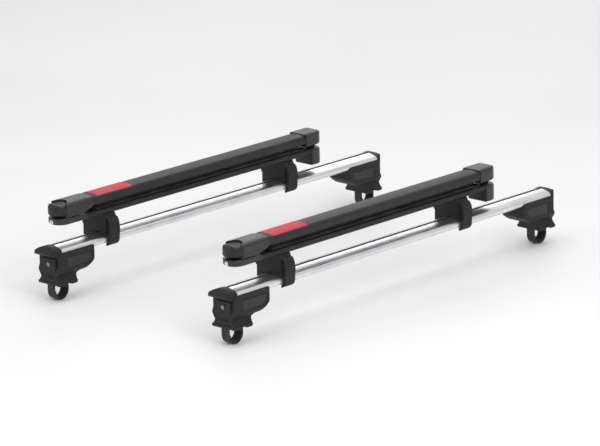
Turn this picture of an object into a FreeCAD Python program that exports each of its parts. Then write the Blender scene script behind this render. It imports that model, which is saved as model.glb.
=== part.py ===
import FreeCAD, Part
import math
import os

from FreeCAD import Vector

# Roof ski rack: two clamshell ski and snowboard carriers on two roof crossbars with rail towers.
#
# Millimetres. +X is the vehicle's forward direction, +Y its left side, +Z up. The origin is at the
# centre of the rack in plan, at the height of the undersides of the four rail straps.
# Each carrier and each tower is modelled about its crossbar and then moved into place: there, x is
# measured from the centre of the crossbar's accessory slot and z from the crossbar's middle height.

# ---------------------------------------------------------------- driving dimensions
BAR_LENGTH = 1240.0          # crossbar, over its end caps
BAR_SPACING = 610.0          # front crossbar to rear crossbar, middle of chord to middle of chord
BAR_TOP = 13.5               # crest of the wing section
BAR_CHORD_MIDDLE = -4.0      # middle of the section's chord, from the accessory slot
BAR_NOSE = (26.0, -1.5, 10.0)        # x, z and radius of the rounded leading edge
BAR_TAIL = (-40.5, -8.3, 3.2)        # x, z and radius of the trailing edge
BAR_WALL = 2.4
BAR_CAP = 26.0               # length of each end cap
SLOT_HALF_MOUTH = 5.2
SLOT_HALF_WIDTH = 9.5

ROOF_RAIL_HALF_SPAN = 578.0  # centre of the rack to each roof rail's axis
ROOF_RAIL_RADIUS = 19.0
ROOF_RAIL_DROP = 106.0       # crossbar down to the roof rail's axis
LINER = 3.0                  # rubber between the strap and the roof rail
STRAP = 3.0                  # steel strap thickness
STRAP_HALF_WIDTH = 12.5
BAR_HEIGHT = ROOF_RAIL_DROP + ROOF_RAIL_RADIUS + LINER + STRAP

RAIL_HALF_WIDTH = 30.0
END_HALF_WIDTH = 31.0                # the mouldings at the ends of the jaws
LOWER_Z0, LOWER_Z1 = 64.0, 78.0      # lower jaw rail
UPPER_Z0, UPPER_Z1 = 96.0, 120.0     # upper jaw rail
LOWER_PAD, UPPER_PAD = 6.0, 7.0      # how far the pads stand off their rails
PAD_HALF_WIDTH = 23.0
PAD_Y0, PAD_Y1 = -455.0, 300.0
RAIL_WALL = 2.2
CROWN = 4.0                          # fall of a jaw's top from its middle to its shoulders
CROWN_LEAN = math.radians(11.0)
CROWN_RADIUS = 3.4                   # radius of the crown, in half widths of the jaw
CHANNEL_MOUTH = 7.0                  # half widths of the channels that hold the pads
CHANNEL_WIDTH = 11.0

LOWER_RAIL_Y0, LOWER_RAIL_Y1 = -497.0, 342.0
UPPER_RAIL_Y0, UPPER_RAIL_Y1 = -475.0, 320.0
NOSE_Y0 = -566.0                     # mouth that the release button stands out of
NOSE_Z0, NOSE_Z1 = 82.0, 121.5
BUTTON_Y0, BUTTON_Y1 = -593.0, -541.0
BUTTON_HALF_WIDTH = 28.0
BUTTON_Z0, BUTTON_Z1 = 86.6, 117.0
BASE_Y0 = -591.0                     # near end of the lower latch base
BASE_Z1 = 81.0

STRIKER_Y, STRIKER_Z, STRIKER_R = -538.0, 75.0, 2.5
LEAF = 1.2                           # spring-steel thickness of the latch spring
LEAF_TOP = 103.0
LOCK_Z, LOCK_R = 72.0, 5.5

HINGE_Y, HINGE_Z, HINGE_R = 368.0, 101.0, 3.5
MAST_HALF = 8.0
HINGE_CAP_Z0, HINGE_CAP_Z1 = 87.0, 125.0
HINGE_TOWER_Z0, HINGE_TOWER_Z1 = 34.0, 77.0
FAR_END_Y = 359.0                    # centre of the rounded far end
SPRING_X, SPRING_R, SPRING_WIRE, SPRING_TURNS = 14.5, 3.4, 0.6, 5

MOUNT_Y = {"near": -415.0, "far": 250.0}
SADDLE_HALF_WIDTH = 21.0             # along the crossbar
CLAW_HALF_WIDTH = 17.0
ROD_Z, ROD_R = 36.0, 3.0
TONGUE_HALF_WIDTH = 11.0
TONGUE_HALF_HEIGHT = 6.0
MOUNT_BOLT_Y = 12.0
KNOB_X, KNOB_THICK, KNOB_R, KNOB_LOBES = -50.0, 13.0, 16.0, 5

TOWER_HALF_DEPTH = 38.0
WAIST_HALF_DEPTH = 28.0
FOOT_HALF_DEPTH = 35.0
FOOT_Z = -88.0               # underside of a tower's foot, which cradles the roof rail
COVER_THICK = 6.0
COVER_PIVOT = (-28.5, -76.9)         # inboard distance and height
COVER_LOCK_Z, COVER_LOCK_R = -34.0, 5.6
SKIM = 0.2                           # how far a block stands wide of the outline that trims it
RUNNING = 0.06                       # radial clearance of pins that turn
SLIDING = 0.3                        # side clearance of pieces that slide

X_AXIS, Y_AXIS, Z_AXIS = Vector(1, 0, 0), Vector(0, 1, 0), Vector(0, 0, 1)
ORIGIN = Vector(0, 0, 0)


# ---------------------------------------------------------------- small geometry helpers
def box(x0, x1, y0, y1, z0, z1):
    return Part.makeBox(x1 - x0, y1 - y0, z1 - z0, Vector(x0, y0, z0))


def rod(axis, centre, radius, start, end):
    """A cylinder along axis, from start to end on that axis, through centre on the other two."""
    base = Vector(centre)
    index = [X_AXIS, Y_AXIS, Z_AXIS].index(axis)
    base[index] = start
    return Part.makeCylinder(radius, end - start, base, axis)


def rounded_wire(points, radii, place):
    """A closed wire through 2-D points, each corner rounded to its own radius (0 keeps it sharp)."""
    flat = [Vector(p[0], p[1], 0) for p in points]
    if not hasattr(radii, "__len__"):
        radii = [radii] * len(flat)
    starts, ends, middles = [], [], []
    for i, corner in enumerate(flat):
        before = (flat[i - 1] - corner).normalize()
        after = (flat[(i + 1) % len(flat)] - corner).normalize()
        half = before.getAngle(after) / 2
        cut = radii[i] / math.tan(half)
        starts.append(corner + before * cut)
        ends.append(corner + after * cut)
        inward = (before + after).normalize()
        middles.append(corner + inward * (radii[i] / math.sin(half) - radii[i]))
    edges = []
    for i in range(len(flat)):
        if radii[i] > 0:
            arc = Part.Arc(place(starts[i]), place(middles[i]), place(ends[i]))
            edges.append(arc.toShape())
        start, end = place(ends[i]), place(starts[(i + 1) % len(flat)])
        if (end - start).Length > 1e-6:
            edges.append(Part.LineSegment(start, end).toShape())
    return Part.Wire(edges)


def prism_x(points, x0, x1, radii=0):
    """A solid whose section is given as (y, z) points and which runs from x0 to x1."""
    wire = rounded_wire(points, radii, lambda p: Vector(x0, p.x, p.y))
    return Part.Face(wire).extrude(Vector(x1 - x0, 0, 0))


def prism_y(points, y0, y1, radii=0):
    """A solid whose section is given as (x, z) points and which runs from y0 to y1."""
    wire = rounded_wire(points, radii, lambda p: Vector(p.x, y0, p.y))
    return Part.Face(wire).extrude(Vector(0, y1 - y0, 0))


def prism_z(points, z0, z1, radii=0):
    """A solid whose plan is given as (x, y) points and which runs from z0 to z1."""
    wire = rounded_wire(points, radii, lambda p: Vector(p.x, p.y, z0))
    return Part.Face(wire).extrude(Vector(0, 0, z1 - z0))


def rectangle(a0, a1, b0, b1):
    return [(a0, b0), (a1, b0), (a1, b1), (a0, b1)]


def rounded_end(half, centre_y, straight_y, z0, z1, low_radius, high_radius):
    """A block with a half-round end: square at straight_y, domed where its rims are rounded."""
    y0, y1 = sorted((centre_y, straight_y))
    radii = [low_radius, low_radius, high_radius, high_radius]
    block = prism_y(rectangle(-half, half, z0, z1), y0, y1, radii)
    profile = rounded_wire(rectangle(0, half, z0, z1), [0, low_radius, high_radius, 0],
                           lambda p: Vector(p.x, centre_y, p.y))
    dome = Part.Face(profile).revolve(Vector(0, centre_y, 0), Z_AXIS, 360)
    tip_y = centre_y + math.copysign(half + 1, centre_y - straight_y)
    return block.fuse(dome.common(box(-half - 1, half + 1, *sorted((centre_y, tip_y)), z0, z1)))


def mirrored(points):
    return points + [(-x, z) for x, z in reversed(points)]


# ---------------------------------------------------------------- crossbar
def wing(grow, y0, y1):
    """The crossbar's wing section, grown outwards by grow, from y0 to y1."""
    nose_x, nose_z, nose_r = BAR_NOSE
    tail_x, tail_z, tail_r = BAR_TAIL

    def crest_radius(x, z, r):
        drop = BAR_TOP - z
        return (x * x + drop * drop - r * r) / (2 * (drop - r))

    def at(x, z):
        return Vector(x, y0, z)

    def on_circle(x, z, radius, angle):
        return at(x + radius * math.cos(angle), z + radius * math.sin(angle))

    crest = at(0, BAR_TOP + grow)
    edges = []
    joins = {}
    for x, z, r in (BAR_NOSE, BAR_TAIL):
        big = crest_radius(x, z, r)
        centre_z = BAR_TOP - big
        angle = math.atan2(z - centre_z, x)
        middle = (angle + math.pi / 2) / 2
        joins[x] = angle
        end = on_circle(0, centre_z, big + grow, angle)
        edges.append(Part.Arc(crest, on_circle(0, centre_z, big + grow, middle), end).toShape())
    for x, z, r, side in ((nose_x, nose_z, nose_r, 0), (tail_x, tail_z, tail_r, math.pi)):
        start = on_circle(x, z, r + grow, joins[x])
        edges.append(Part.Arc(start, on_circle(x, z, r + grow, side), at(x, z - r - grow)).toShape())
    edges.append(Part.LineSegment(at(nose_x, nose_z - nose_r - grow),
                                  at(tail_x, tail_z - tail_r - grow)).toShape())
    face = Part.Face(Part.Wire(Part.__sortEdges__(edges)))
    return face.extrude(Vector(0, y1 - y0, 0))


def crossbar():
    half = BAR_LENGTH / 2 - BAR_CAP
    y0, y1 = -half - 1, half + 1
    floor, lip = 3.4, 10.2
    slot_block = box(-SLOT_HALF_WIDTH - BAR_WALL, SLOT_HALF_WIDTH + BAR_WALL,
                     y0, y1, floor - BAR_WALL, BAR_TOP)
    web = box(-BAR_WALL / 2, BAR_WALL / 2, y0, y1, -BAR_TOP, floor)
    hollow = wing(-BAR_WALL, y0, y1).cut(slot_block).cut(web)
    slot = box(-SLOT_HALF_WIDTH, SLOT_HALF_WIDTH, y0, y1, floor, lip)
    mouth = box(-SLOT_HALF_MOUTH, SLOT_HALF_MOUTH, y0, y1, floor, BAR_TOP + 1)
    return wing(0, -half, half).cut(hollow).cut(slot.fuse(mouth))


def crossbar_end_cap():
    """The cap of the -Y end: it tapers towards its tip and has a plug that enters the bar."""
    outer, inner = -BAR_LENGTH / 2, -BAR_LENGTH / 2 + BAR_CAP
    tip = prism_x([(outer, -12.6), (outer, 14.6), (inner + 1, 14.6), (inner + 1, -12.6)],
                  -60, 60, [9, 17, 0, 0])
    plan = prism_z([(-45, outer), (37, outer), (37, inner + 1), (-45, inner + 1)],
                   -20, 20, [12, 24, 0, 0])
    cap = wing(0.5, outer, inner).common(tip).common(plan)
    plug = wing(-BAR_WALL - 0.3, inner, inner + 14)
    plug = plug.common(box(SLOT_HALF_WIDTH + 4, 31.0, inner, inner + 14, -8, 8))
    return cap.fuse(plug)


def slot_strip():
    """The rubber strip that closes the accessory slot."""
    half = BAR_LENGTH / 2 - BAR_CAP
    neck, foot = SLOT_HALF_MOUTH - 0.2, SLOT_HALF_MOUTH + 2.4
    section = mirrored([(neck, 13.1), (neck, 10.0), (foot, 10.0), (foot, 8.8), (2.0, 7.4)])
    strip = prism_y(section, -half, half)
    for x in (-2.4, 0.0, 2.4):
        strip = strip.cut(box(x - 0.4, x + 0.4, -half, half, 12.5, 14))
    return strip


# ---------------------------------------------------------------- jaw rails and pads
def crowned(half_width, z0, z1, y0, y1, low_radius, inset=0.0):
    """A block with a crowned top and round shoulders, inset all round by the given amount."""
    side = half_width - inset
    drop = inset / math.cos(CROWN_LEAN)
    shoulder = z1 - CROWN + inset * math.tan(CROWN_LEAN) - drop
    ridge = z1 - CROWN + half_width * math.tan(CROWN_LEAN) - drop
    points = [(side, z0 + inset), (side, shoulder), (0, ridge), (-side, shoulder), (-side, z0 + inset)]
    low, shoulder_r = max(low_radius - inset, 0.5), 10.0 - inset
    crown_r = CROWN_RADIUS * half_width - inset
    return prism_y(points, y0, y1, [low, shoulder_r, crown_r, shoulder_r, low])


def channel(y0, y1, face, lip, floor, mouth, width):
    """An undercut channel: its mouth at height face, its undercut from lip to floor."""
    opening = box(-mouth, mouth, y0, y1, *sorted((face, floor)))
    return opening.fuse(box(-width, width, y0, y1, *sorted((lip, floor))))


def upper_rail():
    y0, y1 = UPPER_RAIL_Y0, UPPER_RAIL_Y1
    a, b = y0 - 1, y1 + 1
    core = CHANNEL_WIDTH + RAIL_WALL
    hollow = crowned(RAIL_HALF_WIDTH, UPPER_Z0, UPPER_Z1, a, b, 3.0, RAIL_WALL)
    hollow = hollow.cut(box(-core, core, a, b, UPPER_Z0, UPPER_Z0 + 7.0))
    for x0, x1 in ((-core, -CHANNEL_WIDTH), (CHANNEL_WIDTH, core)):
        hollow = hollow.cut(box(x0, x1, a, b, UPPER_Z0, UPPER_Z1))
    rail = crowned(RAIL_HALF_WIDTH, UPPER_Z0, UPPER_Z1, y0, y1, 3.0)
    pad_channel = channel(a, b, UPPER_Z0 - 1, UPPER_Z0 + 1.8, UPPER_Z0 + 4.6,
                          CHANNEL_MOUTH, CHANNEL_WIDTH)
    return rail.cut(hollow).cut(pad_channel)


def lower_rail():
    y0, y1 = LOWER_RAIL_Y0, LOWER_RAIL_Y1
    a, b = y0 - 1, y1 + 1
    half, wall, core = RAIL_HALF_WIDTH, RAIL_WALL, CHANNEL_WIDTH + RAIL_WALL
    rail = prism_y(rectangle(-half, half, LOWER_Z0, LOWER_Z1), y0, y1, [5, 5, 3, 3])
    hollow = prism_y(rectangle(-half + wall, half - wall, LOWER_Z0 + wall, LOWER_Z1 - wall),
                     a, b, [3, 3, 1, 1])
    hollow = hollow.cut(box(-core, core, a, b, LOWER_Z0, LOWER_Z1))
    pad_channel = channel(a, b, LOWER_Z1 + 1, LOWER_Z1 - 1.8, LOWER_Z1 - 4.4,
                          CHANNEL_MOUTH, CHANNEL_WIDTH)
    bolt_channel = channel(a, b, LOWER_Z0 - 1, LOWER_Z0 + 2.2, LOWER_Z0 + 7.4, 3.6, 7.6)
    return rail.cut(hollow).cut(pad_channel).cut(bolt_channel)


def pad(face, stand):
    """A ribbed rubber pad on the rail face at the given height; stand is negative to hang down."""
    up = 1 if stand > 0 else -1
    neck, root = CHANNEL_MOUTH - 0.3, CHANNEL_WIDTH - 0.4
    half = [(root, face - up * 4.1), (root, face - up * 2.0), (neck, face - up * 2.0), (neck, face),
            (PAD_HALF_WIDTH, face), (PAD_HALF_WIDTH, face + stand * 0.6),
            (PAD_HALF_WIDTH - 4.0, face + stand)]
    body = prism_y(mirrored(half), PAD_Y0, PAD_Y1)
    for x in (-13.0, -6.5, 0.0, 6.5, 13.0):
        groove = sorted((face + stand - up * 2.4, face + stand + up))
        body = body.cut(box(x - 1.3, x + 1.3, PAD_Y0, PAD_Y1, *groove))
    return body


def label_plate():
    """The blank badge plate, curved to the upper rail's crown."""
    y0, y1 = -456.0, -328.0
    skin = crowned(RAIL_HALF_WIDTH, UPPER_Z0, UPPER_Z1, y0, y1, 3.0, -0.8)
    skin = skin.cut(crowned(RAIL_HALF_WIDTH, UPPER_Z0, UPPER_Z1, y0 - 1, y1 + 1, 3.0))
    return skin.common(prism_z(rectangle(-26.0, 26.0, y0, y1), UPPER_Z1 - 9, UPPER_Z1 + 2, 3.0))


def rail_plugs(y0, y1, z0, z1):
    """Two tongues that enter the hollow sides of a jaw rail."""
    inner, outer = CHANNEL_WIDTH + RAIL_WALL + 0.4, RAIL_HALF_WIDTH - RAIL_WALL - 1.6
    return box(-outer, -inner, y0, y1, z0, z1).fuse(box(inner, outer, y0, y1, z0, z1))


# ---------------------------------------------------------------- near end: nose, button, latch
def latch_base():
    near, far = BASE_Y0, LOWER_RAIL_Y0
    body = rounded_end(END_HALF_WIDTH, near + END_HALF_WIDTH, far, LOWER_Z0, BASE_Z1, 7.0, 2.5)
    ramp = prism_x([(far - 24, BASE_Z1 + 1), (far - 24, BASE_Z1), (far, LOWER_Z1), (far + 1, LOWER_Z1),
                    (far + 1, BASE_Z1 + 1)], -40, 40)
    body = body.cut(ramp)
    body = body.cut(prism_z(rectangle(-15, 15, -556, -524), 67.0, BASE_Z1 + 1, 3.0))
    body = body.cut(rod(Y_AXIS, (0, 0, LOCK_Z), LOCK_R + RUNNING, near - 4, -562.0))
    body = body.cut(rod(X_AXIS, (0, STRIKER_Y, STRIKER_Z), STRIKER_R, -21.0, 21.0))
    return body.fuse(rail_plugs(far, far + 12, LOWER_Z0 + 3.2, LOWER_Z1 - 3.2))


def striker_pin():
    return rod(X_AXIS, (0, STRIKER_Y, STRIKER_Z), STRIKER_R, -21.0, 21.0)


def lock_cylinder():
    face = BASE_Y0 - 1.6
    core = rod(Y_AXIS, (0, 0, LOCK_Z), LOCK_R, face, -565.0)
    return core.cut(box(-0.7, 0.7, face - 1, face + 5, LOCK_Z - 3.0, LOCK_Z + 3.0))


def nose_housing():
    far, half = UPPER_RAIL_Y0, END_HALF_WIDTH
    body = crowned(half, NOSE_Z0, NOSE_Z1, NOSE_Y0, far, 4.0)
    body = body.common(prism_z([(-half, far), (-half, NOSE_Y0), (half, NOSE_Y0), (half, far)],
                               NOSE_Z0, NOSE_Z1 + 1, [0, 8, 8, 0]))
    body = body.cut(crowned(half, NOSE_Z0 + 1.6, NOSE_Z1 - 1.4, NOSE_Y0 - 1, -506.0, 4.0, 2.7))
    body = body.cut(rod(Z_AXIS, (0, NOSE_Y0 - 4.0, 0), 25.0, NOSE_Z1 - 12, NOSE_Z1 + 1))
    body = body.cut(box(-11, 11, NOSE_Y0 - 1, -524.0, NOSE_Z0 - 1, NOSE_Z0 + 6))
    body = body.fuse(box(-11, 11, -526.0, -505.0, LEAF_TOP + LEAF, NOSE_Z1 - 3))
    ramp = prism_x([(-518.0, NOSE_Z0 - 1), (-518.0, NOSE_Z0), (far, UPPER_Z0 - 1.0),
                    (far + 1, UPPER_Z0 - 1.0), (far + 1, NOSE_Z0 - 1)], -half - 1, half + 1)
    body = body.cut(ramp)
    return body.fuse(rail_plugs(far, far + 12, UPPER_Z0 + 3.2, UPPER_Z1 - 10.0))


def release_button():
    """The D-shaped button that fills the nose's mouth, with the plunger that bends the latch spring."""
    half, centre = BUTTON_HALF_WIDTH, BUTTON_Y0 + BUTTON_HALF_WIDTH
    body = crowned(half + SKIM, BUTTON_Z0 - 1, BUTTON_Z1, BUTTON_Y0 - 1, BUTTON_Y1 + 1, 3.0)
    body = body.common(rounded_end(half, centre, BUTTON_Y1, BUTTON_Z0, BUTTON_Z1 + 1, 6.0, 11.0))
    side = [(BUTTON_Y0, BUTTON_Z0), (BUTTON_Y1 + 2, BUTTON_Z0), (BUTTON_Y1 + 2, BUTTON_Z1 + 1),
            (BUTTON_Y0, BUTTON_Z1 + 1)]
    body = body.common(prism_x(side, -40, 40, [6, 0, 0, 18]))
    inner = half - 6
    hollow = rod(Z_AXIS, (0, centre, 0), inner, BUTTON_Z0 + 3, BUTTON_Z1 - 9)
    hollow = hollow.fuse(box(-inner, inner, centre, BUTTON_Y1 + 1, BUTTON_Z0 + 3, BUTTON_Z1 - 9))
    rib = box(-2, 2, BUTTON_Y0 + 5, BUTTON_Y1, BUTTON_Z0 + 1, BUTTON_Z1 - 8)
    plunger = box(-6, 6, BUTTON_Y1 - 12, -535.2, 93.0, 100.0)
    return body.cut(hollow).fuse(rib).fuse(plunger)


def latch_spring():
    """A bent spring-steel leaf: fixed under the nose's boss, hooked under the striker."""
    leg, hook = -534.7, 70.8
    path = [(-506.0, LEAF_TOP), (-506.0, LEAF_TOP + LEAF), (leg, LEAF_TOP + LEAF), (leg, hook + LEAF),
            (leg - 7.0, hook + LEAF), (leg - 7.0, hook), (leg + LEAF, hook), (leg + LEAF, LEAF_TOP)]
    return prism_x(path, -8.0, 8.0)


# ---------------------------------------------------------------- far end: floating hinge
def hinge_tower():
    """The socket block that guides the hinge's mast, and the plate that closes it underneath."""
    y0, split, top = LOWER_RAIL_Y1, HINGE_TOWER_Z0 + 4, HINGE_TOWER_Z1
    body = rounded_end(END_HALF_WIDTH, FAR_END_Y, y0, split, top, 0, 6.0)
    hole, length = MAST_HALF + SLIDING, 20.0
    near, far = HINGE_Y - hole, HINGE_Y + hole
    body = body.cut(box(-hole, hole, near, far, split, top + 1))
    body = body.cut(box(-length, length, near, far, split, top - 4))
    body = body.fuse(rail_plugs(y0 - 12, y0, LOWER_Z0 + 3.2, LOWER_Z1 - 3.2))
    plate = rounded_end(END_HALF_WIDTH, FAR_END_Y, y0, HINGE_TOWER_Z0, split, 3.0, 0)
    return [body, plate]


def hinge_carriage():
    half, low = MAST_HALF, HINGE_TOWER_Z0 + 4.2
    mast = box(-half, half, HINGE_Y - half, HINGE_Y + half, low, HINGE_Z)
    head = rod(X_AXIS, (0, HINGE_Y, HINGE_Z), half, -half, half)
    foot = box(-19.5, 19.5, HINGE_Y - half, HINGE_Y + half, low, low + 6.0)
    return mast.fuse(head).fuse(foot).cut(rod(X_AXIS, (0, HINGE_Y, HINGE_Z), HINGE_R, -half, half))


def hinge_pin():
    return rod(X_AXIS, (0, HINGE_Y, HINGE_Z), HINGE_R, -24.0, 24.0)


def hinge_springs():
    low = HINGE_TOWER_Z0 + 10.4 + SPRING_WIRE
    high = HINGE_TOWER_Z1 - 4.2 - SPRING_WIRE
    springs = []
    for side in (-1, 1):
        path = Part.makeHelix((high - low) / SPRING_TURNS, high - low, SPRING_R)
        section = Part.Wire([Part.makeCircle(SPRING_WIRE, Vector(SPRING_R, 0, 0), Y_AXIS)])
        coil = Part.Wire(path).makePipeShell([section], True, True)
        springs.append(coil.translated(Vector(side * SPRING_X, HINGE_Y, low)))
    return Part.Compound(springs)


def hinge_cap():
    y0, half = UPPER_RAIL_Y1, END_HALF_WIDTH
    z0, z1, end = HINGE_CAP_Z0, HINGE_CAP_Z1, FAR_END_Y + END_HALF_WIDTH
    body = crowned(half + SKIM, z0 - 1, z1, y0, end + 1, 4.0)
    body = body.common(rounded_end(half, FAR_END_Y, y0, z0, z1, 6.0, 10.0))
    side = [(y0, z0), (end, z0), (end, z1), (y0 + 26, z1), (y0, UPPER_Z1 + 1.5)]
    body = body.common(prism_x(side, -40, 40, [0, 11, 22, 24, 0]))
    slot, back = MAST_HALF + 0.5, HINGE_Y - MAST_HALF - 1.2
    body = body.cut(box(-slot, slot, back, end + 1, z0 - 1, HINGE_Z + MAST_HALF + 1.2))
    body = body.cut(rod(X_AXIS, (0, HINGE_Y, HINGE_Z), HINGE_R + RUNNING, -24.2, 24.2))
    return body.fuse(rail_plugs(y0 - 12, y0, UPPER_Z0 + 3.2, UPPER_Z1 - 10.0))


# ---------------------------------------------------------------- crossbar mounts of a carrier
def saddle():
    """The block under the lower rail: it stands on the crossbar and hooks round its trailing edge."""
    half, top = SADDLE_HALF_WIDTH, LOWER_Z0
    side = [(34.0, 0.0), (34.0, 44.0), (24.0, top), (-24.0, top), (-48.0, 46.0), (-48.8, -9.0),
            (-42.0, -16.5), (-32.0, -16.5), (-32.0, 0.0)]
    block = prism_y(side, -half, half, [0, 6, 3, 3, 10, 5, 5, 2, 0])
    block = block.cut(wing(2.7, -half - 1, half + 1).common(box(-60, 60, -40, 40, 4.0, 20.0)))
    block = block.cut(wing(0.3, -half - 1, half + 1))
    block = block.cut(box(-31.9, 40, -half - 1, half + 1, -20, 4.0))
    tunnel_y, tunnel_z = TONGUE_HALF_WIDTH + SLIDING, TONGUE_HALF_HEIGHT + SLIDING
    block = block.cut(box(2.0, 40.0, -tunnel_y, tunnel_y, ROD_Z - tunnel_z, ROD_Z + tunnel_z))
    block = block.cut(rod(X_AXIS, (0, 0, ROD_Z), ROD_R + RUNNING, -60.0, 10.0))
    for y in (-MOUNT_BOLT_Y, MOUNT_BOLT_Y):
        block = block.cut(rod(Z_AXIS, (0, y, 0), 3.1, 44.0, top + 1))
    return block


def saddle_pad():
    """Rubber between the saddle and the crossbar."""
    half = SADDLE_HALF_WIDTH - 1
    skin = wing(2.6, -half, half).cut(wing(0.1, -half - 1, half + 1))
    return skin.common(box(-46.0, 31.0, -half, half, 6.0, 20.0))


def clamp_claw():
    """The sliding front jaw: it hooks round the crossbar's leading edge."""
    half = CLAW_HALF_WIDTH
    hook = wing(8.5, -half, half).common(box(29.0, 60.0, -half, half, -24.0, 2.0))
    riser = prism_y([(35.0, 1.0), (44.3, 1.0), (47.0, 24.0), (44.0, 46.0), (37.0, 55.0), (35.0, 55.0)],
                    -half, half, [0, 0, 60.0, 25.0, 2.0, 0.5])
    body = hook.fuse(riser).cut(wing(0.8, -half - 1, half + 1))
    tongue = box(6.0, 37.0, -TONGUE_HALF_WIDTH, TONGUE_HALF_WIDTH,
                 ROD_Z - TONGUE_HALF_HEIGHT, ROD_Z + TONGUE_HALF_HEIGHT)
    return body.fuse(tongue).cut(rod(X_AXIS, (0, 0, ROD_Z), ROD_R + RUNNING, 0.0, 36.0))


def clamp_knob():
    """The hand knob and the clamp rod that turns with it."""
    centre = (0, 0, ROD_Z)
    outer = KNOB_X - KNOB_THICK
    body = rod(X_AXIS, centre, KNOB_R - 4.0, outer, KNOB_X)
    for i in range(KNOB_LOBES):
        angle = 2 * math.pi * i / KNOB_LOBES + math.pi / 2
        lobe = (0, 11.0 * math.cos(angle), ROD_Z + 11.0 * math.sin(angle))
        body = body.fuse(rod(X_AXIS, lobe, KNOB_R - 11.0, outer, KNOB_X))
    washer = rod(X_AXIS, centre, 6.5, KNOB_X, KNOB_X + 0.8)
    shaft = rod(X_AXIS, centre, ROD_R, outer + 3, 34.0)
    return body.removeSplitter().fuse(washer).fuse(shaft)


def rail_bolts(mount_y):
    """Two square-headed bolts that hold a saddle to the channel under the lower rail."""
    bolts = []
    for y in (mount_y - MOUNT_BOLT_Y, mount_y + MOUNT_BOLT_Y):
        head = box(-7.0, 7.0, y - 5.0, y + 5.0, LOWER_Z0 + 2.2, LOWER_Z0 + 6.4)
        bolts.append(head.fuse(rod(Z_AXIS, (0, y, 0), 3.0, 46.0, LOWER_Z0 + 3)))
    return bolts


# ---------------------------------------------------------------- towers on the roof rails
# A tower is modelled at the -Y end. Its sections are given as (inboard distance from the roof
# rail's axis, height).
def tower_y(inboard):
    return -ROOF_RAIL_HALF_SPAN + inboard


def tower_prism(points, x0, x1, radii=0):
    return prism_x([(tower_y(u), z) for u, z in points], x0, x1, radii)


def tower_body():
    depth, waist, foot = TOWER_HALF_DEPTH, WAIST_HALF_DEPTH, FOOT_HALF_DEPTH
    outline = [(-25, -1), (95, -1), (95, -40), (70, -58), (41, -60), (32, FOOT_Z), (-31, FOOT_Z),
               (-31, -54), (-25, -38)]
    body = tower_prism(outline, -depth, depth, [2, 5, 12, 16, 12, 4, 3, 10, 10])
    panel = [(-4, -15), (88, -15), (88, -37), (67, -52), (34, -54), (27, -74), (4, -74), (-4, -50)]
    for side in (-1, 1):
        hollow = [(side * (depth + 1), -50), (side * depth, -50), (side * waist, -66),
                  (side * waist, -70), (side * foot, -80), (side * (depth + 1), -80)]
        body = body.cut(prism_y(hollow, tower_y(-60), tower_y(110), [0, 0, 3.0, 4.0, 0, 0]))
        recess = sorted((side * (depth - 0.8), side * (depth + 1)))
        body = body.cut(tower_prism(panel, *recess, [4, 4, 8, 12, 8, 4, 4, 8]))
    bar_end = -BAR_LENGTH / 2 + BAR_CAP
    body = body.cut(wing(0.6, tower_y(-60), bar_end)).cut(wing(0.1, bar_end - 1, tower_y(110)))
    bay = [(-40, -66), (16, -66), (16, -24), (-40, -24)]
    body = body.cut(tower_prism(bay, -15, 15, [0, 4, 4, 0]))
    body = body.cut(box(-13, 13, tower_y(-27.5), tower_y(-21.5), -90, -60))
    body = body.cut(box(-13, 13, tower_y(21.7), tower_y(25.3), -90, -70))
    body = body.cut(box(-17, 17, tower_y(19.5), tower_y(27.5), -75, -69))
    seat = [(-40, -80), (-31 + COVER_THICK, -80), (-31 + COVER_THICK, -18), (-40, -18)]
    body = body.cut(tower_prism(seat, -24.3, 24.3))
    body = body.cut(rod(X_AXIS, (0, tower_y(0), -ROOF_RAIL_DROP), ROOF_RAIL_RADIUS + LINER, -50, 50))
    body = body.cut(rod(Z_AXIS, (0, tower_y(-6), 0), 4.1, FOOT_Z, -60.0))
    pivot = (0, tower_y(COVER_PIVOT[0]), COVER_PIVOT[1])
    return body.cut(rod(X_AXIS, pivot, 1.5 + RUNNING, -27.0, 27.0))


def tower_cover():
    """The outboard cover over the strap's bolt, with its hinge pins."""
    inner = -31 + COVER_THICK - 0.5
    outline = [(-31, -79.4), (inner, -79.4), (inner, -18.6), (-29.5, -18.6)]
    cover = tower_prism(outline, -24.0, 24.0, [2, 2.4, 1, 3])
    pivot = (0, tower_y(COVER_PIVOT[0]), COVER_PIVOT[1])
    cover = cover.fuse(rod(X_AXIS, pivot, 1.5, -26.8, 26.8))
    bore = COVER_LOCK_R + RUNNING
    return cover.cut(rod(Y_AXIS, (0, 0, COVER_LOCK_Z), bore, tower_y(-40), tower_y(0)))


def tower_cover_lock():
    """The slotted core that a key turns to lock the cover to the tower."""
    core = rod(Y_AXIS, (0, 0, COVER_LOCK_Z), COVER_LOCK_R, tower_y(-32), tower_y(-21))
    slot = box(-0.7, 0.7, tower_y(-33), tower_y(-28), COVER_LOCK_Z - 3.0, COVER_LOCK_Z + 3.0)
    return core.cut(slot)


def arc_shell(inner, outer, start, end, half_length):
    """Part of a tube round the roof rail; its angles, in degrees, start at the inboard direction."""
    y, z = tower_y(0), -ROOF_RAIL_DROP

    def at(radius, degrees):
        a = math.radians(degrees)
        return Vector(-half_length, y + radius * math.cos(a), z + radius * math.sin(a))

    middle = (start + end) / 2
    edges = [Part.Arc(at(inner, start), at(inner, middle), at(inner, end)).toShape(),
             Part.LineSegment(at(inner, end), at(outer, end)).toShape(),
             Part.Arc(at(outer, end), at(outer, middle), at(outer, start)).toShape(),
             Part.LineSegment(at(outer, start), at(inner, start)).toShape()]
    return Part.Face(Part.Wire(edges)).extrude(Vector(2 * half_length, 0, 0))


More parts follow.
